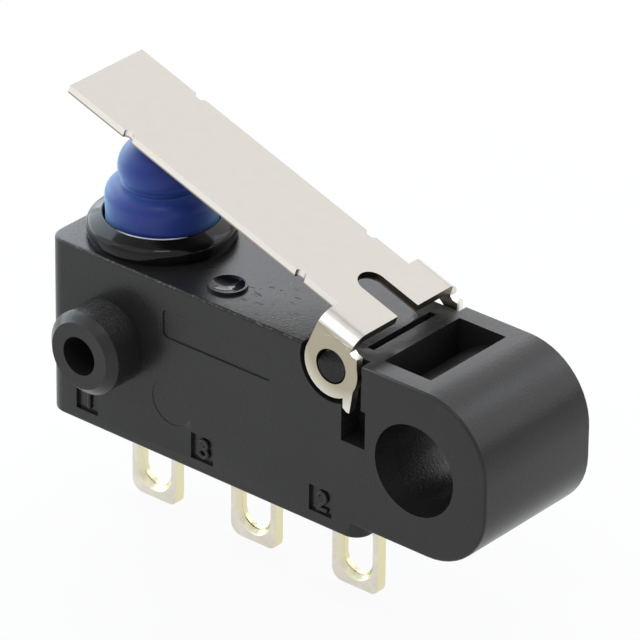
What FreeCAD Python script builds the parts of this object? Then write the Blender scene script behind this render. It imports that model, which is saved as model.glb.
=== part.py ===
import FreeCAD, Part
import math
import os

V = FreeCAD.Vector

# Housing, origin in the mounting hole at the mounting face
housing_length = 18.5
thickness = 5.3
body_height = 6.45
body_length = 13.4
hole_from_end = 15.6
hole_height = 3.5
hole_diameter = 3.2
lug_drop = 0.55
lug_top_radius = 2.5
lug_bottom_radius = 2.3
end_radius = 0.65
step_radius = 0.62
edge_round = 0.1

# Mounting post
post_from_end = 2.7
post_diameter = 2.94
post_length = 1.45
post_chamfer = 0.29
post_bore_diameter = 1.36
post_bore_depth = 1.1

# Pivot pins and their recesses
pivot_from_hole = 3.455
pivot_height = 2.5
pin_diameter = 1.1
pivot_clearance = 0.06
recess_depth = 0.45
recess_radius = 1.28
stop_x = -3.0
recess_right_x = -2.2
slot_right_x = -2.02
slot_top = 1.35
slot_depth = 0.9

# Openings in the top and the shallow marks of the moulding
groove_left_x = -2.88
groove_width = 0.28
groove_length = 3.14
groove_depth = 0.8
pocket_left_x = -1.91
pocket_length = 3.76
boss_radius = 2.5
vent_x = -8.85
vent_y = 1.25
vent_radius = 0.585
vent_lip_radius = 0.66
vent_lip_height = 0.1
vent_depth = 0.32
vent_bore = 0.3
panel_left_x = -10.55
panel_length = 4.62
panel_bottom = 1.0
panel_height = 1.03
panel_corner = 0.2
mark_depth = 0.05
number_left_x = (-14.34, -9.33, -4.3)
number_bottom = -3.05
number_size = 0.95
number_depth = 0.12
ejector_x = -10.15
ejector_z = -1.29
ejector_radius = 0.85

# Chamber and its closing base
wall = 0.8
chamber_length = 10.9
base_length = 11.95
base_height = 1.2
seal_height = 0.35

# Plunger stack, heights above the housing top
ring_outer_radius = 2.5
ring_inner_radius = 1.94
ring_seat_radius = 2.2
ring_rim_height = 0.8
ring_rim_round = 0.06
ring_ridge_radius = 2.4
ring_edge_height = 0.54
flange_thickness = 0.3
flange_drop = 0.4
guide_radius = 1.6
guide_rim_radius = 1.9
guide_rim = 0.1
plunger_radius = 0.95
plunger_clearance = 0.05
plunger_top = 3.35
collar_radius = 1.25
collar_thickness = 0.4
collar_gap = 0.05
plunger_bore_radius = 0.62
plunger_bore_top = 1.55
cap_base_radius = 1.84
cap_wide_radius = 1.89
cap_shoulder = 1.42
cap_shoulder_round = 0.48
cap_fillet = 0.12
cap_neck_radius = 1.28
cap_knob_radius = 1.465
cap_knob_round = 0.965
cap_knob_z = 2.45
cap_nib_radius = 0.83
cap_crown = 3.88
cap_bore_radius = 1.35
cap_head_bore_radius = 1.08

# Terminals
terminal_thickness = 0.4
terminal_width = 1.95
terminal_drop = 3.6
common_x = -13.1
open_x = -8.75
closed_x = -4.37
terminal_round_left = 0.42
terminal_round_right = 0.3
eye_width = 1.2
eye_bottom = 0.45
eye_length = 2.1
eye_coin = 0.18

# Contact mechanism, heights above the bottom of the housing
fulcrum_x = -13.95
fulcrum_height = 3.45
knife_thickness = 0.3
blade_width = 1.4
blade_thickness = 0.15
blade_end_x = -5.25
blade_gap = 0.05
contact_x = -5.7
contact_radius = 0.55
contact_head = 0.4
contact_shank = 0.3
contact_gap = 0.6
closed_gap = 0.01
fixed_head_radius = 0.6
fixed_head = 0.3
shelf_width = 1.5
drive_spring_radius = 0.45
drive_wire = 0.14
drive_turns = 7
snap_leaf = 0.1
snap_width = 0.6
snap_left_x = -11.92
snap_right_x = -7.25
snap_drop = 0.42
snap_sag = 0.45
snap_play = 0.08
tab_reach = 0.2
lip_reach = 0.3
lug_thickness = 0.2
strap_thickness = 0.15
bracket_step = 2.6
bracket_foot = 1.5
rivet_from_fulcrum = 0.6
rivet_height = 2.05
rivet_radius = 0.25
rivet_head_radius = 0.4
rivet_head = 0.12
common_stem_reach = 1.25
open_stem_width = 1.2
shelf_reach = 0.75
closed_stem_left = 0.35
stem_gap = 0.1

# Lever of bent sheet
lever_angle = 18.9
lever_tip_x = -15.33
lever_tip_z = 8.15
sheet = 0.3
lever_length = 13.55
lever_width = 3.5
fold_start = 12.05
fold_radius = 0.6
notch_near = 2.5
notch_far = 10.2
notch_length = 0.42
notch_depth = 0.15
fork_width = 1.0
fork_start = 11.5
ear_radius = 1.09

# Positions that follow from the sizes above
left = -hole_from_end
right = left + housing_length
body_end = left + body_length
floor = -hole_height
top = floor + body_height
mid = thickness / 2
post_x = left + post_from_end
pivot_x = -pivot_from_hole
chamber_left = left + wall
chamber_right = chamber_left + chamber_length
chamber_roof = top - wall
base_top = floor + base_height
base_right = chamber_left + base_length
terminal_front = mid - terminal_thickness / 2
terminal_back = mid + terminal_thickness / 2
flange_floor = top - flange_drop
ring_seat = flange_floor + flange_thickness
knife_top = floor + fulcrum_height
blade_bottom = knife_top + blade_gap
blade_top = blade_bottom + blade_thickness
moving_top = blade_top + contact_head
moving_bottom = blade_bottom - contact_head
closed_face = moving_top + closed_gap
open_face = moving_bottom - contact_gap
snap_z = blade_bottom - snap_drop


def box(x0, x1, y0, y1, z0, z1):
    return Part.makeBox(x1 - x0, y1 - y0, z1 - z0, V(x0, y0, z0))


def rod_y(x, z, radius, y0, y1):
    return Part.makeCylinder(radius, y1 - y0, V(x, y0, z), V(0, 1, 0))


def rod_z(x, y, radius, z0, z1):
    return Part.makeCylinder(radius, z1 - z0, V(x, y, z0), V(0, 0, 1))


def other_side(shape):
    return shape.mirror(V(0, mid, 0), V(0, 1, 0))


def plate(points, y0, y1):
    wire = Part.makePolygon([V(x, y0, z) for x, z in points + points[:1]])
    return Part.Face(wire).extrude(V(0, y1 - y0, 0))


def turned(edges):
    outline = Part.Wire(Part.__sortEdges__(edges))
    return Part.Face(outline).revolve(V(0, 0, 0), V(0, 0, 1), 360)


def chain(points):
    pairs = zip(points, points[1:])
    return [Part.makeLine(V(r0, 0, z0), V(r1, 0, z1)) for (r0, z0), (r1, z1) in pairs]


def bow(first, middle, last):
    ends = [V(r, 0, z) for r, z in (first, middle, last)]
    return Part.Arc(*ends).toShape()


def dome(radius, z, rise):
    sphere = (radius ** 2 + rise ** 2) / (2 * rise)
    half = math.asin(min(1.0, radius / sphere)) / 2
    if rise > radius:
        half = math.pi / 2 - half
    level = z + rise - sphere
    return bow((radius, z), (sphere * math.sin(half), level + sphere * math.cos(half)), (0, z + rise))


def over_post(shape, height):
    return shape.translated(V(post_x, mid, height))


def upright_edges(shape, x, radius):
    picked = []
    for edge in shape.Edges:
        low, high = edge.BoundBox.ZMin, edge.BoundBox.ZMax
        if abs(edge.BoundBox.XMin - x) < 1e-6 and abs(edge.BoundBox.XMax - x) < 1e-6 and high - low > 1:
            picked.append(edge)
    return shape.makeFillet(radius, picked)


# Outer block of the housing
def lug_block():
    start = body_end - 1.0
    block = box(start, right, 0, thickness, floor + lug_drop, top)
    for z, radius in ((top, lug_top_radius), (floor + lug_drop, lug_bottom_radius)):
        corner = [e for e in block.Edges if abs(e.BoundBox.XMin - right) < 1e-6
                  and abs(e.BoundBox.ZMin - z) < 1e-6 and abs(e.BoundBox.ZMax - z) < 1e-6]
        block = block.makeFillet(radius, corner)
    return block


def housing_block():
    body = box(left, body_end, 0, thickness, floor, top)
    body = upright_edges(body, left, end_radius)
    body = upright_edges(body, body_end, step_radius)
    block = body.fuse(lug_block()).removeSplitter()
    rims = []
    for edge in block.Edges:
        bound = edge.BoundBox
        on_face = bound.YMax < 1e-6 or bound.YMin > thickness - 1e-6
        on_top = bound.ZMin > top - 1e-6
        on_bottom = bound.ZMax < floor + 1e-6
        if on_face or on_top or on_bottom:
            rims.append(edge)
    return block.makeFillet(edge_round, rims)


# Recess, stop slot and pin on one face
def pivot_recess():
    reach = top - pivot_height + 1
    cut = rod_y(pivot_x, pivot_height, recess_radius, -1, recess_depth)
    cut = cut.fuse(box(stop_x, recess_right_x, -1, recess_depth, slot_top - 0.01, top + 1))
    cut = cut.fuse(box(stop_x, slot_right_x, -1, slot_depth, 0, slot_top))
    pin = rod_y(pivot_x, pivot_height, pin_diameter / 2, 0.02, recess_depth)
    rise = 0.8 * pin_diameter / 2
    ramp = Part.makePolygon([V(0, 0, 0), V(0, recess_depth, rise), V(0, 0, rise + reach), V(0, 0, 0)])
    ramp = Part.Face(ramp).extrude(V(pin_diameter * 2, 0, 0))
    ramp.translate(V(pivot_x - pin_diameter, 0, pivot_height))
    return cut.cut(pin.cut(ramp))


def pocket():
    half = pocket_length / 2
    cut = box(pocket_left_x, 0, mid - half, mid + half, 0, top + 1)
    cut = cut.cut(rod_y(0, 0, boss_radius, -1, thickness + 1))
    half = groove_length / 2
    groove_right = groove_left_x + groove_width
    groove = box(groove_left_x, groove_right, mid - half, mid + half, top - groove_depth, top + 1)
    return cut.fuse(groove)


def chamber():
    space = box(chamber_left, chamber_right, wall, thickness - wall, base_top, chamber_roof)
    mouth = box(chamber_left, base_right, wall, thickness - wall, floor - 1, base_top)
    return space.fuse(mouth)


def plunger_opening():
    bore = rod_z(post_x, mid, guide_radius, chamber_roof - 0.5, flange_floor)
    rim = rod_z(post_x, mid, guide_rim_radius, flange_floor - guide_rim, flange_floor)
    seat = rod_z(post_x, mid, ring_seat_radius, flange_floor, top + 1)
    return bore.fuse([rim, seat])


def vent_lip():
    return rod_z(vent_x, vent_y, vent_lip_radius, top - 0.2, top + vent_lip_height)


def vent():
    cup = rod_z(vent_x, vent_y, vent_radius, top - vent_depth, top + 1)
    bore = rod_z(vent_x, vent_y, vent_bore, chamber_roof - 0.5, top)
    return cup.fuse(bore)


def shallow_marks():
    panel = box(panel_left_x, panel_left_x + panel_length, -1, mark_depth,
                panel_bottom, panel_bottom + panel_height)
    corners = [edge for edge in panel.Edges if edge.BoundBox.YLength > 1]
    panel = panel.makeFillet(panel_corner, corners)
    ejector = rod_y(ejector_x, ejector_z, ejector_radius, -1, mark_depth / 3)
    squares = [box(x, x + number_size, -1, number_depth, number_bottom, number_bottom + number_size)
               for x in number_left_x]
    return panel.fuse([ejector] + squares)


def post():
    radius = post_diameter / 2
    shaft = rod_y(post_x, 0, radius, post_chamfer - post_length, 0.2)
    tip = Part.makeCone(radius - post_chamfer, radius, post_chamfer, V(post_x, -post_length, 0), V(0, 1, 0))
    return shaft.fuse(tip)


def housing():
    shape = housing_block().fuse([post(), vent_lip()])
    cuts = [pivot_recess(), other_side(pivot_recess()), pocket(), chamber(), plunger_opening(), vent()]
    cuts.append(shallow_marks())
    cuts.append(rod_y(0, 0, hole_diameter / 2, -1, thickness + 1))
    cuts.append(rod_y(post_x, 0, post_bore_diameter / 2, -post_length - 1, post_bore_depth - post_length))
    for cut in cuts:
        shape = shape.cut(cut)
    return shape.removeSplitter()


# Base and the poured seal below it, both pierced by the terminals
def floor_layer(z0, z1):
    layer = box(chamber_left, base_right, wall, thickness - wall, z0, z1)
    for x in (common_x, open_x, closed_x):
        half = terminal_width / 2
        layer = layer.cut(box(x - half, x + half, terminal_front, terminal_back, z0 - 1, z1 + 1))
    return layer


def base():
    return floor_layer(floor + seal_height, base_top)


def potting_seal():
    return floor_layer(floor, floor + seal_height)


def vent_plug():
    dish = 0.14
    sphere = (vent_radius ** 2 + dish ** 2) / (2 * dish)
    high = top + vent_lip_height - 0.03
    fill = rod_z(vent_x, vent_y, vent_radius, top - vent_depth, high)
    return fill.cut(Part.makeSphere(sphere, V(vent_x, vent_y, high - dish + sphere)))


# Plunger stack
def retaining_ring():
    lip = 0.08
    seat = ring_seat - top
    crest = ring_inner_radius + ring_rim_round
    level = ring_rim_height - ring_rim_round
    shift = 0.7071 * ring_rim_round
    edges = [bow((ring_inner_radius, level), (crest - shift, level + shift), (crest, ring_rim_height))]
    edges += chain([(crest, ring_rim_height), (ring_ridge_radius, ring_edge_height)])
    edges.append(bow((ring_ridge_radius, ring_edge_height),
                     (ring_outer_radius - 0.03, ring_edge_height - 0.03),
                     (ring_outer_radius, ring_edge_height - 0.1)))
    edges += chain([
        (ring_outer_radius, ring_edge_height - 0.1), (ring_outer_radius, lip),
        (ring_outer_radius - lip, lip), (ring_outer_radius - lip, 0), (ring_seat_radius, 0),
        (ring_seat_radius, seat), (ring_inner_radius, seat), (ring_inner_radius, level)])
    return over_post(turned(edges), top)


def cap_knob(degrees):
    core = cap_knob_radius - cap_knob_round
    angle = math.radians(degrees)
    return (core + cap_knob_round * math.cos(angle), cap_knob_z + cap_knob_round * math.sin(angle))


def cap_outside():
    bulge = 0.7071
    hollow = 1 - bulge
    seat = ring_seat - top
    inner = cap_wide_radius - cap_shoulder_round
    valley = cap_shoulder + cap_shoulder_round
    foot = cap_neck_radius + cap_fillet
    knob_low = cap_knob(-14)
    core = cap_knob_radius - cap_knob_round
    nib_angle = math.degrees(math.acos((cap_nib_radius - core) / cap_knob_round))
    nib = cap_knob(nib_angle)
    edges = chain([(ring_seat_radius, seat), (cap_base_radius, seat), (cap_wide_radius, cap_shoulder)])
    edges.append(bow((cap_wide_radius, cap_shoulder),
                     (inner + bulge * cap_shoulder_round, cap_shoulder + bulge * cap_shoulder_round),
                     (inner, valley)))
    edges += chain([(inner, valley), (foot, valley)])
    edges.append(bow((foot, valley), (cap_neck_radius + hollow * cap_fillet, valley + hollow * cap_fillet),
                     (cap_neck_radius, valley + cap_fillet)))
    edges += chain([(cap_neck_radius, valley + cap_fillet), knob_low])
    edges.append(bow(knob_low, cap_knob(25), nib))
    edges.append(dome(nib[0], nib[1], cap_crown - nib[1]))
    return edges


def cap_inside():
    head_low = cap_shoulder + cap_shoulder_round
    ceiling = plunger_top + 0.08
    return chain([
        (0, cap_crown), (0, ceiling), (0.62, ceiling), (cap_head_bore_radius, ceiling - 0.48),
        (cap_head_bore_radius, head_low), (cap_bore_radius, head_low - 0.4),
        (cap_bore_radius, -flange_drop), (ring_seat_radius, -flange_drop),
        (ring_seat_radius, ring_seat - top)])


def rubber_cap():
    return over_post(turned(cap_outside() + cap_inside()), top)


def plunger_guide():
    sleeve = rod_z(post_x, mid, guide_radius, chamber_roof, flange_floor)
    rim = rod_z(post_x, mid, guide_rim_radius, flange_floor - guide_rim, flange_floor)
    bore = rod_z(post_x, mid, plunger_radius + plunger_clearance, chamber_roof - 1, top)
    return sleeve.fuse(rim).cut(bore).removeSplitter()


def plunger():
    collar_top = chamber_roof - collar_gap - top
    collar_low = collar_top - collar_thickness
    bevel = 0.4
    edges = chain([
        (plunger_bore_radius, collar_low), (collar_radius, collar_low), (collar_radius, collar_top),
        (plunger_radius, collar_top), (plunger_radius, plunger_top - bevel),
        (plunger_radius - bevel, plunger_top), (0, plunger_top), (0, plunger_bore_top),
        (plunger_bore_radius, plunger_bore_top), (plunger_bore_radius, collar_low)])
    return over_post(turned(edges), top)


def coil(radius, wire, turns, length):
    free = length - wire
    path = Part.Wire(Part.makeHelix(free / turns, free, radius).Edges)
    section = Part.Wire(Part.makeCircle(wire / 2, V(radius, 0, 0), V(0, 1, 0)))
    solid = path.makePipeShell([section], True, True)
    return solid.translated(V(0, 0, wire / 2))


def drive_spring():
    length = top + plunger_bore_top - blade_top
    return over_post(coil(drive_spring_radius, drive_wire, drive_turns, length), blade_top)


# Terminals
def long_hole(x, width, z0, z1, y0, y1):
    radius = width / 2
    hole = box(x - radius, x + radius, y0, y1, z0 + radius, z1 - radius)
    return hole.fuse([rod_y(x, z0 + radius, radius, y0, y1), rod_y(x, z1 - radius, radius, y0, y1)])


def terminal(x, stem_left, stem_right, stem_top):
    half = terminal_width / 2
    low = floor - terminal_drop
    blank = box(x - half, x + half, terminal_front, terminal_back, low, base_top)
    for side, radius in ((x - half, terminal_round_left), (x + half, terminal_round_right)):
        corner = [e for e in blank.Edges if abs(e.BoundBox.XMin - side) < 1e-6
                  and abs(e.BoundBox.XMax - side) < 1e-6 and e.BoundBox.ZMax < low + 1e-6]
        blank = blank.makeFillet(radius, corner)
    z0 = low + eye_bottom
    z1 = z0 + eye_length
    blank = blank.cut(long_hole(x, eye_width, z0, z1, terminal_front - 1, terminal_back + 1))
    rim = [e for e in blank.Edges if abs(e.BoundBox.YMin - terminal_front) < 1e-6
           and e.BoundBox.YMax < terminal_front + 1e-6
           and e.BoundBox.XMin > x - eye_width / 2 - 1e-4 and e.BoundBox.XMax < x + eye_width / 2 + 1e-4
           and e.BoundBox.ZMin > z0 - 1e-4 and e.BoundBox.ZMax < z1 + 1e-4]
    blank = blank.makeChamfer(eye_coin, rim)
    stem = box(stem_left, stem_right, terminal_front, terminal_back, base_top, stem_top)
    return blank.fuse(stem).removeSplitter()


def shelf(x0, x1, z0):
    half = shelf_width / 2
    flat = box(x0, x1, mid - half, mid + half, z0, z0 + terminal_thickness)
    return flat.cut(rod_z(contact_x, mid, contact_shank, z0 - 1, z0 + 1))


def rivet_hole():
    return rod_y(fulcrum_x + rivet_from_fulcrum, floor + rivet_height, rivet_radius, 0, thickness)


def common_terminal():
    stem_right = fulcrum_x + common_stem_reach
    stem = terminal(common_x, common_x - terminal_width / 2, stem_right, floor + bracket_step)
    return stem.cut(rivet_hole())


def normally_open_terminal():
    shelf_low = open_face - contact_head - terminal_thickness
    half = open_stem_width / 2
    stem = terminal(open_x, open_x - half, open_x + half, shelf_low)
    return stem.fuse(shelf(open_x - half, contact_x + shelf_reach, shelf_low)).removeSplitter()


def normally_closed_terminal():
    shelf_low = closed_face + fixed_head
    stem_right = chamber_right - stem_gap
    stem = terminal(closed_x, closed_x - closed_stem_left, stem_right, shelf_low)
    return stem.fuse(shelf(contact_x - shelf_reach, stem_right, shelf_low)).removeSplitter()


# Contacts and the moving blade
def rivet_contact(face, head, shank, way):
    disc = Part.makeCylinder(fixed_head_radius, head, V(contact_x, mid, face), V(0, 0, way))
    stem = Part.makeCylinder(contact_shank, shank, V(contact_x, mid, face + way * head), V(0, 0, way))
    return disc.fuse(stem)


def closed_fixed_contact():
    return rivet_contact(closed_face, fixed_head, terminal_thickness, 1)


def open_fixed_contact():
    return rivet_contact(open_face, contact_head, terminal_thickness, -1)


def moving_contact():
    upper = rod_z(contact_x, mid, contact_radius, blade_top, moving_top)
    lower = rod_z(contact_x, mid, contact_radius, moving_bottom, blade_bottom)
    shank = rod_z(contact_x, mid, contact_shank, blade_bottom, blade_top)
    return upper.fuse([shank, lower])


def contact_blade():
    half = blade_width / 2
    outer = fulcrum_x - knife_thickness / 2 - blade_gap
    leaf = box(outer, blade_end_x, mid - half, mid + half, blade_bottom, blade_top)
    lip = box(outer - blade_thickness, outer, mid - half, mid + half, blade_bottom - lip_reach, blade_top)
    half = snap_width / 2
    tab = box(snap_right_x, snap_right_x + blade_thickness, mid - half, mid + half,
              snap_z - tab_reach, blade_bottom)
    shank = rod_z(contact_x, mid, contact_shank, blade_bottom - contact_head, top)
    return leaf.fuse([lip, tab]).cut(shank).removeSplitter()


def snap_spring():
    chord = (snap_right_x - snap_left_x) / 2
    radius = (chord ** 2 + snap_sag ** 2) / (2 * snap_sag)
    centre = V((snap_left_x + snap_right_x) / 2, mid - snap_width / 2, snap_z - snap_sag + radius)
    spread = math.asin(chord / radius)
    arcs = []
    for reach in (radius, radius - snap_leaf):
        ends = [centre + V(reach * math.sin(a), 0, -reach * math.cos(a)) for a in (-spread, 0, spread)]
        arcs.append(ends)
    edges = [Part.Arc(*ends).toShape() for ends in arcs]
    edges += [Part.makeLine(arcs[0][i], arcs[1][i]) for i in (0, 2)]
    return Part.Face(Part.Wire(Part.__sortEdges__(edges))).extrude(V(0, snap_width, 0))


def fulcrum_bracket():
    half = blade_width / 2
    knife_radius = knife_thickness / 2
    outer = fulcrum_x - knife_radius
    bar_low = floor + bracket_step
    lug_right = snap_left_x - snap_play
    near = mid - snap_width / 2
    far = terminal_back + knife_thickness
    cheek = box(outer, lug_right, terminal_back, far, floor + bracket_foot, bar_low)
    bar = box(outer, outer + knife_thickness, mid - half, mid + half, bar_low, knife_top - knife_radius)
    edge = rod_y(fulcrum_x, knife_top - knife_radius, knife_radius, mid - half, mid + half)
    strap = box(outer, lug_right, near, far, bar_low, bar_low + strap_thickness)
    lug = box(lug_right - lug_thickness, lug_right, near, far, bar_low, snap_z + tab_reach)
    return cheek.fuse([strap, lug, bar, edge]).cut(rivet_hole()).removeSplitter()


def bracket_rivet():
    x = fulcrum_x + rivet_from_fulcrum
    z = floor + rivet_height
    y0 = terminal_front
    y1 = terminal_back + knife_thickness
    shank = rod_y(x, z, rivet_radius, y0, y1)
    heads = [rod_y(x, z, rivet_head_radius, y0 - rivet_head, y0),
             rod_y(x, z, rivet_head_radius, y1, y1 + rivet_head)]
    return shank.fuse(heads)


# Lever
def laid(shape):
    return shape.rotated(V(0, 0, 0), V(0, 1, 0), lever_angle).translated(V(lever_tip_x, mid, lever_tip_z))


def lever_point(s, w):
    angle = math.radians(lever_angle)
    x = lever_tip_x + s * math.cos(angle) + w * math.sin(angle)
    z = lever_tip_z - s * math.sin(angle) + w * math.cos(angle)
    return (x, z)


def lever_strip():
    half = lever_width / 2
    strip = box(0, fold_start + 0.5, -half, half, -sheet, 0)
    for s in (notch_near, notch_far):
        for side in (-1, 1):
            notch = long_hole_flat(s, side * (half + notch_length - notch_depth))
            strip = strip.cut(notch)
    return strip


def long_hole_flat(s, y):
    radius = notch_length / 2
    cut = Part.makeCylinder(radius, 2, V(s + radius, y - math.copysign(radius, y), -1), V(0, 0, 1))
    side = 0.5 * math.copysign(1, y)
    y0 = y - math.copysign(radius, y)
    low, high = sorted((y0, y0 + side))
    return cut.fuse(box(s, s + notch_length, low, high, -1, 1))


def fold():
    half = thickness / 2
    depth = fold_radius + 0.1
    outside = box(fold_start, lever_length, -half, half, -depth, 0)
    inside = box(fold_start - 1, lever_length + 1, sheet - half, half - sheet, -depth - 1, -sheet)
    for solid_name in (0, 1):
        radius = fold_radius if solid_name == 0 else fold_radius - sheet
        level = 0 if solid_name == 0 else -sheet
        shape = outside if solid_name == 0 else inside
        corner = [e for e in shape.Edges if abs(e.BoundBox.ZMin - level) < 1e-6
                  and abs(e.BoundBox.ZMax - level) < 1e-6 and e.BoundBox.YMax - e.BoundBox.YMin < 1e-6]
        shape = shape.makeFillet(radius, corner)
        if solid_name == 0:
            outside = shape
        else:
            inside = shape
    return outside.cut(inside)


def fork_slot():
    radius = fork_width / 2
    slot = box(fork_start + radius, lever_length + 1, -radius, radius, -1, 1)
    return slot.fuse(Part.makeCylinder(radius, 2, V(fork_start + radius, 0, -1), V(0, 0, 1)))


def ear():
    left_top = lever_point(fold_start, -fold_radius)
    right_top = lever_point(lever_length, -fold_radius)
    shoulder = (pivot_x - 1.045, pivot_height + 0.33)
    stop = stop_x + 0.05
    flange = plate([left_top, right_top, (pivot_x + 1.055, pivot_height + 0.6),
                    (pivot_x + 1.055, pivot_height + 0.26), (pivot_x + 0.775, pivot_height - 1.42),
                    (pivot_x + 0.66, pivot_height - 1.42), (stop, pivot_height - 1.3),
                    (stop, pivot_height), (pivot_x, pivot_height), shoulder], 0, sheet)
    eye = rod_y(pivot_x, pivot_height, ear_radius, 0, sheet)
    hole = rod_y(pivot_x, pivot_height, pin_diameter / 2 + pivot_clearance, -1, 1)
    return flange.fuse(eye).cut(hole).removeSplitter()


def lever():
    top_sheet = lever_strip().fuse(fold()).cut(fork_slot())
    return laid(top_sheet).fuse([ear(), other_side(ear())]).removeSplitter()


pieces = [housing, base, potting_seal, vent_plug, retaining_ring, rubber_cap, plunger_guide, plunger,
          drive_spring, common_terminal, normally_open_terminal, normally_closed_terminal,
          closed_fixed_contact, open_fixed_contact, moving_contact, contact_blade, snap_spring,
          fulcrum_bracket, bracket_rivet, lever]

os.makedirs("parts", exist_ok=True)
for piece in pieces:
    shape = piece()
    print(piece.__name__, shape.ShapeType, len(shape.Solids), shape.isValid(), round(shape.Volume, 3))
    shape.exportStep("parts/" + piece.__name__ + ".step")
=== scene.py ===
import bpy
import bmesh
import math
import numpy as np
from mathutils import Matrix, Vector


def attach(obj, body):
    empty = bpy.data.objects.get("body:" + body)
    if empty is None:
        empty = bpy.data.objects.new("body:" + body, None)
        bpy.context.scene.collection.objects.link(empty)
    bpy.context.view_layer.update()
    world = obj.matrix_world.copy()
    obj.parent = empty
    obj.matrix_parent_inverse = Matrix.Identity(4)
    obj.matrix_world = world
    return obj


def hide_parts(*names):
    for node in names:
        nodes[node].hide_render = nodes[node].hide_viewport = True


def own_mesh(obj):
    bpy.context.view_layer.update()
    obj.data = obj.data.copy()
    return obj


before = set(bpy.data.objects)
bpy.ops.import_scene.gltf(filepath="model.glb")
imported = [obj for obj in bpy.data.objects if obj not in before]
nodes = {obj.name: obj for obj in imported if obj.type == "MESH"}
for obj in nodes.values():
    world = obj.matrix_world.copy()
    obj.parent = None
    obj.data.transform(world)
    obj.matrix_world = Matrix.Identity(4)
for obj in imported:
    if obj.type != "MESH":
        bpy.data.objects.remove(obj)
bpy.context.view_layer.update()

# Housing: one moulding of near-black glass-filled plastic with the post, the lug, both pivot pins
# and all the pockets. Its mould is spark-eroded, so the skin has a fine even grain and shows grey
# where it mirrors its surroundings, and where a highlight and light are painted pale on the front
# arris and the post. The arrises are broken by hundredths of a millimetre.
housing_dark, housing_light = (0.0137, 0.0131, 0.0126), (0.019, 0.0184, 0.018)
# The pale grey is the lug's wear and the painted highlight and light on the front arris and the post.
wear_and_light_grey, pin_black = (0.3, 0.29, 0.28), (0.005, 0.0045, 0.004)
housing_arris = 0.00003
merge_distance = 1e-7
flat_angle, smooth_angle, arris_angle = math.radians(0.4), math.radians(28), math.radians(40)

# Where its wear, its polish and its painted highlight and light lie: a spot is a point and its reach in
# metres, a box is two opposite corners.
scuff_spot = (-0.0072, 0.0014, 0.00295), 0.0021
scuff_box = (-0.011, 0.0, 0.0029), (-0.004, 0.005, 0.003)
# The pale specks along the front arris are a painted highlight.
arris_highlight_box = (-0.0155, -0.0001, 0.00289), (-0.0045, 0.00008, 0.0031)
rub_spot = (0.0024, 0.0029, -0.0006), 0.0004
# The post's upper side is painted lighter as light from above, with a dust speckle in it.
post_dust_and_light_spot = (-0.0126, -0.0007, 0.00145), 0.0014
post_dust_and_light_box = (-0.015, -0.00114, 0.0), (-0.011, -0.00001, 0.002)
pin_spot = (-0.003455, 0.0, 0.0025), 0.0006
lever_root_box = (-0.0048, 0.0002, 0.0029), (-0.00289, 0.0051, 0.003)
mark_cover, scuff_roughness, pin_roughness = 0.7, 0.5, 0.6
root_polish, pin_coarseness, scuff_depth = 0.35, 5.0, 0.3


def new_material(name):
    """Makes an empty node material and returns it with its node tree and its main shader."""
    material = bpy.data.materials.new(name)
    material.use_nodes = True
    tree = material.node_tree
    return material, tree, tree.nodes["Principled BSDF"]


def feeding(socket):
    """The output that is linked to an input."""
    return socket.links[0].from_socket


def object_noise(tree, scale, detail=3.0, roughness=0.55, stretch=(1.0, 1.0, 1.0)):
    """Noise over object coordinates: scale gives the cells per metre, stretch multiplies it by axis."""
    where = tree.nodes.new("ShaderNodeTexCoord")
    mapping = tree.nodes.new("ShaderNodeMapping")
    mapping.inputs["Scale"].default_value = stretch
    noise = tree.nodes.new("ShaderNodeTexNoise")
    noise.inputs["Scale"].default_value = scale
    noise.inputs["Detail"].default_value = detail
    noise.inputs["Roughness"].default_value = roughness
    tree.links.new(where.outputs["Object"], mapping.inputs["Vector"])
    tree.links.new(mapping.outputs["Vector"], noise.inputs["Vector"])
    return noise.outputs["Fac"]


def ramp(tree, value, low, high, low_out=0.0, high_out=1.0):
    """Carries a value from low..high on to low_out..high_out, straight and held at both ends."""
    node = tree.nodes.new("ShaderNodeMapRange")
    for key, number in zip(("From Min", "From Max", "To Min", "To Max"), (low, high, low_out, high_out)):
        node.inputs[key].default_value = number
    tree.links.new(value, node.inputs["Value"])
    return node.outputs["Result"]


def maths(tree, operation, first, *others):
    """Arithmetic on values, each a socket or a number: the first with the second, then the result with
    the third, and so on."""
    for other in others:
        node = tree.nodes.new("ShaderNodeMath")
        node.operation = operation
        for socket, value in zip(node.inputs, (first, other)):
            if isinstance(value, (int, float)):
                socket.default_value = value
            else:
                tree.links.new(value, socket)
        first = node.outputs["Value"]
    return first


def colour_mix(tree, value, first, second):
    """Blends two colours by a value: 0 gives the first and 1 the second. Each is a tuple or a socket."""
    node = tree.nodes.new("ShaderNodeMix")
    node.data_type = "RGBA"
    for key, colour in (("A", first), ("B", second)):
        if isinstance(colour, tuple):
            node.inputs[key].default_value = (*colour, 1.0)
        else:
            tree.links.new(colour, node.inputs[key])
    tree.links.new(value, node.inputs["Factor"])
    return node.outputs["Result"]


def relief(tree, shader, height, depth):
    """Bump: a step of 1 in the height value stands for depth metres of relief."""
    bump = tree.nodes.new("ShaderNodeBump")
    bump.inputs["Strength"].default_value = 1.0
    bump.inputs["Distance"].default_value = depth
    tree.links.new(height, bump.inputs["Height"])
    tree.links.new(bump.outputs["Normal"], shader.inputs["Normal"])


def near(tree, point, reach):
    """1 at a point of the object, falling straight to 0 at reach metres from it."""
    where = tree.nodes.new("ShaderNodeTexCoord")
    gap = tree.nodes.new("ShaderNodeVectorMath")
    gap.operation = "DISTANCE"
    gap.inputs[1].default_value = point
    tree.links.new(where.outputs["Object"], gap.inputs[0])
    return ramp(tree, gap.outputs["Value"], 0.0, reach, 1.0, 0.0)


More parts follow.
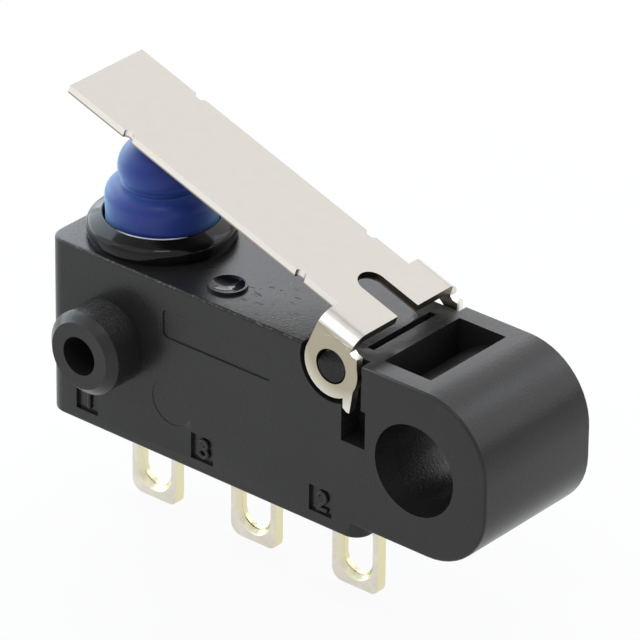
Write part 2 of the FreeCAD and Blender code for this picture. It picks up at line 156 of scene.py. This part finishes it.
def within(tree, low, high):
    """1 inside a box of object coordinates and 0 outside it."""
    where = tree.nodes.new("ShaderNodeTexCoord")
    parts = tree.nodes.new("ShaderNodeSeparateXYZ")
    tree.links.new(where.outputs["Object"], parts.inputs["Vector"])
    sides = []
    for axis, first, last in zip("XYZ", low, high):
        sides.append(maths(tree, "GREATER_THAN", parts.outputs[axis], first))
        sides.append(maths(tree, "LESS_THAN", parts.outputs[axis], last))
    return maths(tree, "MULTIPLY", *sides)


def moulded_plastic(name, dark, light, rough_low, rough_high, depth=5e-6):
    """Moulded plastic: one fine noise for the eroded grain and one broad noise for the melt's flow."""
    material, tree, shader = new_material(name)
    grain = object_noise(tree, 11000.0, detail=2.0, roughness=0.6)
    flow = object_noise(tree, 380.0, detail=4.0, roughness=0.5)
    tree.links.new(colour_mix(tree, flow, dark, light), shader.inputs["Base Color"])
    tree.links.new(ramp(tree, flow, 0.3, 0.7, rough_low, rough_high), shader.inputs["Roughness"])
    shader.inputs["IOR"].default_value = 1.4
    relief(tree, shader, grain, depth)
    return material


def dress(node, material):
    """Puts one material on every slot of a solid that is carried over from the frame."""
    for slot in nodes[node].material_slots:
        slot.material = material


def refined(node, width, body, material, segments=2):
    """A copy of a solid with its triangles joined and its arrises rounded by width metres."""
    mesh = nodes[node].data.copy()
    mesh.name = node + "_refined"
    shell = bmesh.new()
    shell.from_mesh(mesh)
    bmesh.ops.remove_doubles(shell, verts=shell.verts, dist=merge_distance)
    bmesh.ops.dissolve_limit(shell, angle_limit=flat_angle, verts=shell.verts, edges=shell.edges)
    shell.to_mesh(mesh)
    shell.free()
    mesh.materials.clear()
    mesh.materials.append(material)
    mesh.polygons.foreach_set("material_index", np.zeros(len(mesh.polygons), int))
    mesh.polygons.foreach_set("use_smooth", np.ones(len(mesh.polygons), bool))
    mesh.set_sharp_from_angle(angle=smooth_angle)
    piece = bpy.data.objects.new(node + "_refined", mesh)
    bpy.context.scene.collection.objects.link(piece)
    bevel = piece.modifiers.new("arris", "BEVEL")
    bevel.width = width
    bevel.segments = segments
    bevel.limit_method = "ANGLE"
    bevel.angle_limit = arris_angle
    bevel.use_clamp_overlap = True
    bevel.harden_normals = True
    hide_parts(node)
    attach(piece, body)
    return piece


def housing_skin():
    """The housing's plastic with its wear and painted light: scuffs on the roof before the lever, pale
    specks on the front arris that are a painted highlight, a worn spot on the lug, dust and painted
    light from above on the post's upper side, and dull pin ends. The roof is smoother under the lever's
    root, where the mould is polished."""
    material = moulded_plastic("housing_plastic", housing_dark, housing_light,
                               rough_low=0.2, rough_high=0.31, depth=7e-6)
    tree = material.node_tree
    shader = tree.nodes["Principled BSDF"]

    flecks = object_noise(tree, 4600.0, detail=2.0, roughness=0.4, stretch=(0.5, 1.4, 1.0))
    patch = ramp(tree, near(tree, *scuff_spot), 0.0, 0.5)
    scuffs = maths(tree, "MULTIPLY", ramp(tree, flecks, 0.64, 0.68), patch, within(tree, *scuff_box))
    # Pale specks along the front arris: a painted highlight on the arris.
    arris_highlight_specks = ramp(tree, object_noise(tree, 7000.0, detail=2.0, roughness=0.4), 0.52, 0.7, 0.0, 0.4)
    painted_arris_highlight = maths(tree, "MULTIPLY", arris_highlight_specks, within(tree, *arris_highlight_box))
    specks = ramp(tree, object_noise(tree, 4000.0), 0.5, 0.6, 0.0, 0.35)
    pale_patch = maths(tree, "MULTIPLY", near(tree, *rub_spot), specks)
    # The post's upper side: dust speckle and painted light from above, fading down from its top.
    dust = ramp(tree, object_noise(tree, 19000.0, detail=3.0, roughness=0.6), 0.4, 0.64, 0.04, 0.26)
    top_light_falloff = ramp(tree, near(tree, *post_dust_and_light_spot), 0.0, 0.6)
    dust_and_painted_light = maths(tree, "MULTIPLY", top_light_falloff, within(tree, *post_dust_and_light_box), dust)
    pin_ends = ramp(tree, near(tree, *pin_spot), 0.0, 0.06)

    # Wear on the lug, and painted highlight and light on the front arris and the post, in one pale grey.
    wear_and_painted_light = maths(tree, "MULTIPLY", maths(tree, "MAXIMUM", painted_arris_highlight, pale_patch, dust_and_painted_light), mark_cover)
    dull = colour_mix(tree, pin_ends, feeding(shader.inputs["Base Color"]), pin_black)
    tree.links.new(colour_mix(tree, wear_and_painted_light, dull, wear_and_light_grey), shader.inputs["Base Color"])

    polish = ramp(tree, within(tree, *lever_root_box), 0.0, 1.0, 1.0, root_polish)
    even = maths(tree, "MULTIPLY", feeding(shader.inputs["Roughness"]), polish)
    scuffed = maths(tree, "MULTIPLY", scuffs, scuff_roughness)
    blunt = maths(tree, "MULTIPLY", pin_ends, pin_roughness)
    tree.links.new(maths(tree, "MAXIMUM", even, scuffed, blunt), shader.inputs["Roughness"])

    height = feeding(shader.inputs["Normal"]).node.inputs["Height"]
    coarse = maths(tree, "MULTIPLY", feeding(height), ramp(tree, pin_ends, 0.0, 1.0, 1.0, pin_coarseness))
    scratched = maths(tree, "MULTIPLY", scuffs, scuff_depth)
    tree.links.new(maths(tree, "SUBTRACT", coarse, scratched), height)
    return material


housing_plastic = housing_skin()
moulding = refined("housing", housing_arris, "case", housing_plastic)

# Terminal numbers: 1, 3 and 2 stand on the floors of three shallow squares in the housing's front.
# They are part of the same moulding, cut into the mould as round-ended grooves.
number_floor, number_rise, number_width = 0.00012, 0.00011, 0.00013
number_low = -0.00305
number_lefts = {"1": -0.01434, "3": -0.00933, "2": -0.0043}
number_margin = (0.00029, 0.00016)
seam_distance = 2e-8


def round_ended_stroke(line, width, height, floor):
    """Ridge along a line of points (x, z) on the plane y = floor: each row is the line's point plus its
    side normal times a half-width that follows a flattened arch, raised towards -y by the arch's height,
    and the rows run on past both ends by a half circle, where the half-width shrinks to nothing."""
    end_rows, end_turn, arch_columns = 7, 88, 9
    side_power, top_power = 0.6, 0.5
    foot_spread, end_height = 1.15, 0.35
    line = np.asarray(line, float)
    along = np.gradient(line, axis=0)
    along /= np.linalg.norm(along, axis=1)[:, None]
    end = np.radians(np.linspace(0, end_turn, end_rows))
    push = np.sin(end) * width / 2
    thin = np.cos(end)
    rows = np.vstack([line[0] - along[0] * push[::-1, None], line, line[-1] + along[-1] * push[:, None]])
    heading = np.vstack([np.repeat(along[:1], end_rows, 0), along, np.repeat(along[-1:], end_rows, 0)])
    share = np.concatenate([thin[::-1], np.ones(len(line)), thin])
    arch = np.radians(np.linspace(180, 0, arch_columns))
    across = np.sign(np.cos(arch)) * np.abs(np.cos(arch)) ** side_power * width / 2 * foot_spread
    rise = np.abs(np.sin(arch)) ** top_power * height
    side = np.stack([-heading[:, 1], heading[:, 0]], 1)
    flat = rows[:, None, :] + side[:, None, :] * (share[:, None] * across[None, :])[:, :, None]
    up = floor - rise[None, :] * (end_height + (1 - end_height) * share[:, None])
    up[:, 0] = floor
    up[:, -1] = floor
    return np.stack([flat[:, :, 0], up, flat[:, :, 1]], 2)


def grid_mesh(name, grids, material, wrap=False, close=False):
    """Joins grids of points into one smooth mesh: neighbours (i, j), (i + 1, j), (i + 1, j + 1), (i, j + 1)
    make a face. wrap joins the last column to the first, and close fills the openings that are left."""
    points, faces, start = [], [], 0
    for grid in grids:
        m, n = grid.shape[:2]
        i, j = np.meshgrid(np.arange(m - 1), np.arange(n if wrap else n - 1), indexing="ij")
        below, beside = i + 1, (j + 1) % n
        quads = np.stack([i * n + j, below * n + j, below * n + beside, i * n + beside], -1)
        points.append(grid.reshape(-1, 3))
        faces.append(quads.reshape(-1, 4) + start)
        start += m * n
    mesh = bpy.data.meshes.new(name)
    mesh.from_pydata(np.vstack(points).tolist(), [], np.vstack(faces).tolist())
    shell = bmesh.new()
    shell.from_mesh(mesh)
    bmesh.ops.remove_doubles(shell, verts=shell.verts, dist=seam_distance)
    if close:
        bmesh.ops.holes_fill(shell, edges=shell.edges, sides=0)
    bmesh.ops.recalc_face_normals(shell, faces=shell.faces)
    shell.to_mesh(mesh)
    shell.free()
    mesh.polygons.foreach_set("use_smooth", np.ones(len(mesh.polygons), bool))
    mesh.materials.append(material)
    piece = bpy.data.objects.new(name, mesh)
    bpy.context.scene.collection.objects.link(piece)
    return piece


def arc_line(centre, radius_x, radius_z, first, last, count):
    """Points of an ellipse's arc from one angle to the other, in degrees: the centre plus the two radii
    times the cosine and the sine."""
    turn = np.radians(np.linspace(first, last, count))
    return np.stack([centre[0] + radius_x * np.cos(turn), centre[1] + radius_z * np.sin(turn)], 1)


def number_lines(digit):
    """The strokes of a digit in a box 0.4 wide and 0.62 high, in millimetres."""
    if digit == "1":
        return [np.linspace((0.06, 0.46), (0.21, 0.6), 5), np.linspace((0.22, 0.6), (0.22, 0.0), 9)]
    if digit == "2":
        hook = arc_line((0.2, 0.42), 0.17, 0.18, 165, -30, 18)
        slope = np.linspace(hook[-1], (0.03, 0.02), 8)[1:]
        return [np.vstack([hook, slope]), np.linspace((0.03, 0.0), (0.39, 0.0), 7)]
    # The 3 is two bows that meet at its waist.
    upper = arc_line((0.2, 0.455), 0.155, 0.145, 150, -88, 16)
    lower = arc_line((0.2, 0.155), 0.175, 0.155, 88, -150, 18)
    return [upper, lower]


for digit, left in number_lefts.items():
    corner = np.array([left, number_low]) + number_margin
    grids = [round_ended_stroke(corner + line * 1e-3, number_width, number_rise, number_floor)
             for line in number_lines(digit)]
    number = grid_mesh("number_" + digit, grids, housing_plastic, close=True)
    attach(number, "case")

# Terminals: three tongues stamped from strip, coined round their long holes and plated pale. The
# cut faces stay yellower than the rolled ones. The base is moulded round them.
plating, plated_cut = (0.86, 0.81, 0.71), (0.84, 0.79, 0.5)
terminal_arris = 0.00004
cut_cosine, rolled_cosine = 0.6, 0.93


def measured_along(tree, output, direction):
    """How far a point's place (Object) or its normal (Normal) reaches along a direction."""
    where = tree.nodes.new("ShaderNodeTexCoord")
    reach = tree.nodes.new("ShaderNodeVectorMath")
    reach.operation = "DOT_PRODUCT"
    reach.inputs[1].default_value = direction
    tree.links.new(where.outputs[output], reach.inputs[0])
    return reach.outputs["Value"]


def stamped_metal(name, face, cut, rough, lean, depth=2e-6, mottle=0.97):
    """Stamped sheet: the cosine between the object normal and lean tells rolled faces from cut ones. The
    cut faces' colour may be a function that works it out in the material's tree."""
    material, tree, shader = new_material(name)
    cut_colour = cut(tree) if callable(cut) else cut
    squareness = maths(tree, "ABSOLUTE", measured_along(tree, "Normal", lean), 0.0)
    rolled = ramp(tree, squareness, cut_cosine, rolled_cosine)
    cloud = object_noise(tree, 2600.0, detail=4.0)
    pale = colour_mix(tree, ramp(tree, cloud, 0.3, 0.7), tuple(mottle * c for c in face), face)
    tree.links.new(colour_mix(tree, rolled, cut_colour, pale), shader.inputs["Base Color"])
    tree.links.new(ramp(tree, cloud, 0.3, 0.7, rough, rough + 0.04), shader.inputs["Roughness"])
    shader.inputs["Metallic"].default_value = 1.0
    relief(tree, shader, object_noise(tree, 6500.0, detail=3.0, roughness=0.6), depth)
    return material


plated = stamped_metal("plated_copper_alloy", plating, plated_cut,
                       rough=0.32, lean=(0, 1, 0), depth=4e-6, mottle=0.86)
for name in ("common_terminal", "normally_open_terminal", "normally_closed_terminal"):
    terminal = refined(name, terminal_arris, "case", plated)

# Base and potting: a black block holds the terminals from below, and black epoxy is poured over it
# and sets with a glossy skin.
base_dark, base_light = (0.008, 0.008, 0.008), (0.014, 0.014, 0.014)
resin_black = (0.005, 0.005, 0.0065, 1)
base_plastic = moulded_plastic("base_plastic", base_dark, base_light, rough_low=0.5, rough_high=0.6)
dress("base", base_plastic)
resin, tree, shader = new_material("resin")
shader.inputs["Base Color"].default_value = resin_black
swirl = object_noise(tree, 900.0, detail=3.0)
tree.links.new(ramp(tree, swirl, 0.3, 0.7, 0.04, 0.1), shader.inputs["Roughness"])
relief(tree, shader, swirl, 6e-6)
dress("potting_seal", resin)

# Contact set: bracket, rivet, blade, contacts and springs, which the housing hides. The blade is
# spring copper alloy and the contacts are silver alloy, riveted in. The drive spring stands on the
# blade and shortens under the plunger.
silver_face = (0.8, 0.78, 0.74)
blade_face, blade_cut = (0.72, 0.48, 0.3), (0.7, 0.45, 0.28)
steel_face, steel_cut = (0.55, 0.55, 0.54), (0.5, 0.5, 0.49)
silver = stamped_metal("contact_silver", silver_face, silver_face, rough=0.3, lean=(0, 0, 1))
copper = stamped_metal("spring_copper_alloy", blade_face, blade_cut, rough=0.28, lean=(0, 0, 1))
steel = stamped_metal("spring_steel", steel_face, steel_cut, rough=0.3, lean=(0, 0, 1))
contact_set = {
    "fulcrum_bracket": plated, "bracket_rivet": plated, "contact_blade": copper,
    "moving_contact": silver, "closed_fixed_contact": silver, "open_fixed_contact": silver,
    "snap_spring": steel, "drive_spring": steel,
}
for name, material in contact_set.items():
    dress(name, material)
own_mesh(nodes["drive_spring"])

# Plunger and guide: the plunger is natural acetal and slides in a black sleeve that is set in the
# housing's roof. Both are smooth from the mould.
acetal_dark, acetal_light = (0.55, 0.53, 0.48), (0.62, 0.6, 0.55)
acetal = moulded_plastic("plunger_acetal", acetal_dark, acetal_light,
                         rough_low=0.3, rough_high=0.4, depth=2e-6)
dress("plunger", acetal)
dress("plunger_guide", base_plastic)

# Rubber cap: blue silicone, moulded in one piece, a little translucent, with a satin skin. Its
# flange is clamped under the ring. It is a wide drum, a hollow neck, a knob and a blunt crown.
post_x, post_y, roof = -0.0129, 0.00265, 0.00295
silicone_dark, silicone_light = (0.013, 0.029, 0.21), (0.017, 0.037, 0.26)

# Its profile in millimetres, as points of (radius, height over the roof), from the flange up over
# the crown and down again inside.
drum = [(2.2, -0.4), (2.2, -0.1), (1.84, -0.1), (1.852, 0.35), (1.866, 0.75), (1.88, 1.1)]
shoulder = arc_line((1.41, 1.42), 0.48, 0.48, 0, 90, 14)
hollow = arc_line((1.4, 2.02), 0.12, 0.12, 268, 182, 9)
knob = arc_line((0.5, 2.45), 0.965, 0.965, -14, 66, 26)
crown = arc_line((0.0, 2.96), 0.92, 0.92, 25.56, 90, 13)
inside = [(0.0, 3.45), (0.6, 3.45), (0.95, 3.05), (1.08, 2.9), (1.08, 1.9), (1.35, 1.5), (1.35, -0.4)]
underside = [(2.2, -0.4)]
cap_profile = np.vstack([drum, shoulder, hollow, knob, crown, inside, underside])


def turned(profile, x, y, count):
    """Turns a profile of (radius, height over the roof) points in millimetres round the upright axis at
    x, y: a point becomes (x + r cos t, y + r sin t, roof + z), with t going once round."""
    turn = np.linspace(0, 2 * np.pi, count, endpoint=False)
    r, z = np.asarray(profile, float).T * 1e-3
    across = r[:, None] * np.cos(turn)
    height = np.broadcast_to(roof + z[:, None], across.shape)
    return np.stack([x + across, y + r[:, None] * np.sin(turn), height], 2)


silicone, tree, shader = new_material("silicone")
cloud = object_noise(tree, 900.0, detail=4.0)
tree.links.new(colour_mix(tree, cloud, silicone_dark, silicone_light), shader.inputs["Base Color"])
tree.links.new(ramp(tree, cloud, 0.3, 0.7, 0.3, 0.4), shader.inputs["Roughness"])
shader.inputs["Subsurface Weight"].default_value = 0.2
shader.inputs["Subsurface Radius"].default_value = (0.0001, 0.0002, 0.0004)
shader.inputs["Subsurface Scale"].default_value = 1.0
shader.inputs["Sheen Weight"].default_value = 1.0
shader.inputs["Sheen Roughness"].default_value = 0.45
shader.inputs["Sheen Tint"].default_value = (0.4, 0.75, 1.0, 1.0)
shader.inputs["IOR"].default_value = 1.35
relief(tree, shader, object_noise(tree, 6000.0, detail=2.0), 3e-6)
cap = grid_mesh("silicone_cap", [turned(cap_profile, post_x, post_y, count=160)], silicone, wrap=True)
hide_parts("rubber_cap")
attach(cap, "case")
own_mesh(cap)

# Retaining ring: polished black plastic, pressed over the cap's flange. Its top slopes out from a
# rounded crest, and its foot is set in a little. The crest is painted pale in front as a highlight line.
ring_black, crest_highlight_pale = (0.005, 0.0047, 0.005), (0.7, 0.71, 0.74)
crest_highlight_spot = (-0.0119, 0.0009, 0.00374), 0.0013
crest_highlight_box = (-0.02, -0.01, 0.003725), (0.0, 0.0018, 0.0038)
ring_sharp_angle = math.radians(40)
crest = arc_line((2.0, 0.73), 0.06, 0.06, 180, 62, 8)
ridge = arc_line((2.2, 0.35), 0.3, 0.3, 62, 0, 12)
foot = [(2.5, 0.2), (2.49, 0.13), (2.46, 0.09), (2.42, 0.08), (2.42, 0.0)]
spigot = [(2.2, 0.0), (2.2, -0.1), (1.94, -0.1), (1.94, 0.73)]
ring_profile = np.vstack([crest, ridge, foot, spigot])
ring_plastic, tree, shader = new_material("ring_plastic")
# The pale band on the crest's front is a painted highlight line.
highlight_place = ramp(tree, near(tree, *crest_highlight_spot), 0.0, 0.45)
pale_patch = maths(tree, "MULTIPLY", within(tree, *crest_highlight_box), highlight_place)
tree.links.new(colour_mix(tree, pale_patch, ring_black, crest_highlight_pale), shader.inputs["Base Color"])
smear = object_noise(tree, 1300.0, detail=3.0)
tree.links.new(ramp(tree, smear, 0.3, 0.7, 0.06, 0.15), shader.inputs["Roughness"])
shader.inputs["IOR"].default_value = 1.34
relief(tree, shader, smear, 5e-6)
ring = grid_mesh("clamp_ring", [turned(ring_profile, post_x, post_y, count=200)], ring_plastic, wrap=True)
ring.data.set_sharp_from_angle(angle=ring_sharp_angle)
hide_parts("retaining_ring")
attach(ring, "case")

# Vent plug: a drop of the same black epoxy, poured into the lipped cup in the roof. It creeps up the
# cup's wall and sinks in the middle as it sets, so it shines like a small dished mirror.
vent_x, vent_y = -0.00885, 0.00125
vent_radius, vent_play, vent_foot, vent_edge = 0.585, 0.003, -0.31, 0.06
rim_height, sag, creep = 0.07, 0.15, 0.02

# The skin's height is the rim's, less a parabola that is deepest in the middle, plus a thin lip.
skin_radius = np.linspace(vent_radius, 0, 22)
share = skin_radius / vent_radius
skin = np.stack([skin_radius, rim_height - sag * (1 - share ** 2) + creep * share ** 12], 1)
drop_radius = vent_radius - vent_play
drop = np.vstack([(0.0, vent_foot), (drop_radius, vent_foot), (drop_radius, vent_edge), skin])
vent = grid_mesh("vent_drop", [turned(drop, vent_x, vent_y, count=96)], resin, wrap=True)
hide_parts("vent_plug")
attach(vent, "case")

# Lever: one strip of stainless sheet, blanked, notched and folded down into two ears that snap over
# the pins. The faces keep the mill's rolled grain, and the cut edges show the punch's bright band
# over a torn one. The bright band and the bright folds are painted highlights, and the edges of the
# slot and the rear end carry painted shade.
# The fold colour is a painted highlight.
sheet_face, fold_highlight = (0.48, 0.453, 0.407), (0.96, 0.94, 0.9)
ear_dark, ear_pale = (0.43, 0.385, 0.285), (0.75, 0.735, 0.64)
# The bright shear band is a painted highlight over the edge's darker torn band.
shear_band_highlight, sheared_torn = (0.85, 0.82, 0.75), (0.33, 0.28, 0.22)
# The slot's and the rear end's edges are painted dark as shade, and the slot's torn band paler as light.
slot_painted_shade, slot_painted_light = (0.14, 0.105, 0.08), (0.5, 0.49, 0.5)
sheet_normal = (0.3239, 0, 0.9461)
sheet_top, torn_start, torn_full = 0.002745, 0.00022, 0.00026
lever_arris = 0.00006
fold_start, fold_full, fold_fading, fold_end = 0.985, 0.94, 0.55, 0.35
fold_spot = (-0.0031, 0.0, 0.0032), 0.003
blade_box = (-0.02, 0.0005, 0.0), (-0.0039, 0.0048, 0.01)
slot_box = (-0.0047, 0.002, 0.0), (-0.0012, 0.0033, 0.01)
end_box = (-0.003, 0.00035, 0.0), (-0.0012, 0.00495, 0.01)


def lever_cuts(tree):
    """Colour of the lever's ears and cut edges: the ears are darker round their fold than lower down, and
    the blade's edges have a bright band, which is a painted highlight, over a darker torn one. The
    edges of the slot and of the rear end are painted dark as shade, and the slot's torn band paler as
    light."""
    below_fold = ramp(tree, near(tree, *fold_spot), 0.55, 0.33)
    ears = colour_mix(tree, below_fold, ear_dark, ear_pale)
    height = measured_along(tree, "Object", sheet_normal)
    torn = ramp(tree, height, sheet_top - torn_full, sheet_top - torn_start, 1.0, 0.0)
    sheared = colour_mix(tree, torn, shear_band_highlight, sheared_torn)
    outer = colour_mix(tree, within(tree, *blade_box), ears, sheared)
    in_slot = within(tree, *slot_box)
    # Painted shade on the slot and rear-end edges, with painted light on the slot's torn band.
    painted_slot_shade_and_light = colour_mix(tree, maths(tree, "MULTIPLY", torn, in_slot), slot_painted_shade, slot_painted_light)
    return colour_mix(tree, maths(tree, "MAXIMUM", in_slot, within(tree, *end_box)), outer, painted_slot_shade_and_light)


stainless = stamped_metal("stainless_sheet", sheet_face, lever_cuts,
                          rough=0.3, lean=sheet_normal, depth=1.5e-6)
tree = stainless.node_tree
base_colour = tree.nodes["Principled BSDF"].inputs["Base Color"]

# The folds are painted bright, as a highlight, where the sheet has turned by 10 to 70 degrees from its flat
# face.
squareness = maths(tree, "ABSOLUTE", measured_along(tree, "Normal", sheet_normal), 0.0)
past_start = ramp(tree, squareness, fold_start, fold_full)
before_end = ramp(tree, squareness, fold_end, fold_fading)
painted_fold_highlight = maths(tree, "MULTIPLY", past_start, before_end)
tree.links.new(colour_mix(tree, painted_fold_highlight, feeding(base_colour), fold_highlight), base_colour)
lever = refined("lever", lever_arris, "lever_body", stainless, segments=3)

# Floor: a plain pale sheet that the terminals stand on. Eyes and mirrors see it almost white, and it
# keeps the object's shadow.
floor_half, floor_height = 3.0, -0.00712
floor_grey, white = (0.8, 0.8, 0.8, 1), (1, 1, 1, 1)
glow_to_eye, glow_to_mirror = 0.92, 0.74
corners = [(x * floor_half, y * floor_half, 0) for x, y in ((-1, -1), (1, -1), (1, 1), (-1, 1))]
studio_floor = bpy.data.meshes.new("studio_floor")
studio_floor.from_pydata(corners, [], [(0, 1, 2, 3)])
floor = bpy.data.objects.new("studio_floor", studio_floor)
bpy.context.scene.collection.objects.link(floor)
floor.location = (0, 0, floor_height)
pale_floor, tree, shader = new_material("pale_floor")
shader.inputs["Base Color"].default_value = floor_grey
shader.inputs["Roughness"].default_value = 0.9
glow = tree.nodes.new("ShaderNodeEmission")
glow.inputs["Color"].default_value = white
glow.inputs["Strength"].default_value = 1.0


def ray_shares(tree):
    """1 for a ray from the camera, and 1 for a ray from a mirror or through glass, as two values."""
    path = tree.nodes.new("ShaderNodeLightPath")
    mirrored = maths(tree, "MAXIMUM", path.outputs["Is Glossy Ray"], path.outputs["Is Transmission Ray"])
    return path.outputs["Is Camera Ray"], mirrored


def blended(tree, share, first, second, surface):
    """Shows the first shader where share is 0 and the second where it is 1."""
    blend = tree.nodes.new("ShaderNodeMixShader")
    for socket, value in zip(blend.inputs, (share, first, second)):
        tree.links.new(value, socket)
    tree.links.new(blend.outputs["Shader"], surface)


direct, mirrored = ray_shares(tree)
by_eye = maths(tree, "MULTIPLY", direct, glow_to_eye)
glow_share = maths(tree, "MAXIMUM", by_eye, maths(tree, "MULTIPLY", mirrored, glow_to_mirror))
surface = tree.nodes["Material Output"].inputs["Surface"]
blended(tree, glow_share, shader.outputs["BSDF"], glow.outputs["Emission"], surface)
studio_floor.materials.append(pale_floor)

# Light: a pale room, which is darker overhead and shines on the object at half strength, and seven
# soft square lamps. The windows stand behind and to the left, for the sheen on the faces that look
# up, and the key and the ceiling lamp stand in front, for the dark sides.
sky_colour, sky_strength = (0.93, 0.96, 1.0, 1), 0.5
room_grey = (0.8, 0.8, 0.8, 1)
zenith_start, zenith_full, zenith_strength = 0.82, 0.95, 0.65
world = bpy.data.worlds.new("studio")
bpy.context.scene.world = world
world.use_nodes = True
tree = world.node_tree
sky = tree.nodes["Background"]
sky.inputs["Color"].default_value = sky_colour
sky.inputs["Strength"].default_value = sky_strength
room = tree.nodes.new("ShaderNodeBackground")
room.inputs["Color"].default_value = room_grey
direction = tree.nodes.new("ShaderNodeTexCoord")
parts = tree.nodes.new("ShaderNodeSeparateXYZ")
tree.links.new(direction.outputs["Generated"], parts.inputs["Vector"])
overhead = ramp(tree, parts.outputs["Z"], zenith_start, zenith_full, 1.0, zenith_strength)
direct, mirrored = ray_shares(tree)
tree.links.new(maths(tree, "MAXIMUM", overhead, direct), room.inputs["Strength"])
seen = maths(tree, "MAXIMUM", direct, mirrored)
surface = tree.nodes["World Output"].inputs["Surface"]
blended(tree, seen, sky.outputs["Background"], room.outputs["Background"], surface)

# Each lamp's place, the side of its square in metres, its power in watts and its colour.
looked_at = Vector((-0.0065, 0.0026, 0.0))
daylight = (0.93, 0.95, 1.0)
lamps = {
    "key": ((-0.036, -0.134, 0.16), 0.2, 0.06, (1, 1, 1)),
    "ceiling": ((0.055, -0.075, 0.19), 0.06, 0.04, (1.0, 0.93, 0.86)),
    "left_window": ((-0.23, 0.234, 0.14), 0.22, 0.26, (0.95, 0.95, 1.0)),
    "back_window": ((0.004, 0.237, 0.26), 0.26, 0.19, daylight),
    "side": ((-0.2135, 0.0486, 0.0874), 0.26, 0.4, (0.75, 0.88, 1.0)),
    "left_lamp": ((-0.235, -0.05, 0.06), 0.36, 0.44, (0.82, 0.94, 1.0)),
    "right_window": ((0.12, 0.2, 0.15), 0.2, 0.15, daylight),
}
for name, (place, size, power, colour) in lamps.items():
    light = bpy.data.lights.new(name, "AREA")
    light.size = size
    light.energy = power
    light.color = colour
    lamp = bpy.data.objects.new(name, light)
    bpy.context.scene.collection.objects.link(lamp)
    lamp.location = place
    lamp.rotation_euler = (looked_at - Vector(place)).to_track_quat("-Z", "Y").to_euler()

# Camera: a long lens, 29 degrees above the object and 40 degrees round from its front. Its axes and
# its focal length were worked out from the straight edges of the housing.
right = Vector((0.76322145, 0.64605055, 0.01056875))
down = Vector((0.31831904, -0.36171617, -0.8762616))
ahead = Vector((-0.56228641, 0.67214589, -0.48171973))
camera_place = (0.11144113, -0.13790496, 0.10284397)
sensor_width, focal_pixels, picture_pixels = 36.0, 6503.9, 640
camera_data = bpy.data.cameras.new("camera")
camera_data.sensor_width = sensor_width
camera_data.lens = focal_pixels / picture_pixels * sensor_width
camera_data.clip_start = 0.01
camera = bpy.data.objects.new("camera", camera_data)
bpy.context.scene.collection.objects.link(camera)
turn = Matrix((right, -down, -ahead)).transposed()
camera.matrix_world = Matrix.Translation(camera_place) @ turn.to_4x4()
bpy.context.scene.camera = camera
bpy.context.scene.view_settings.view_transform = "Standard"
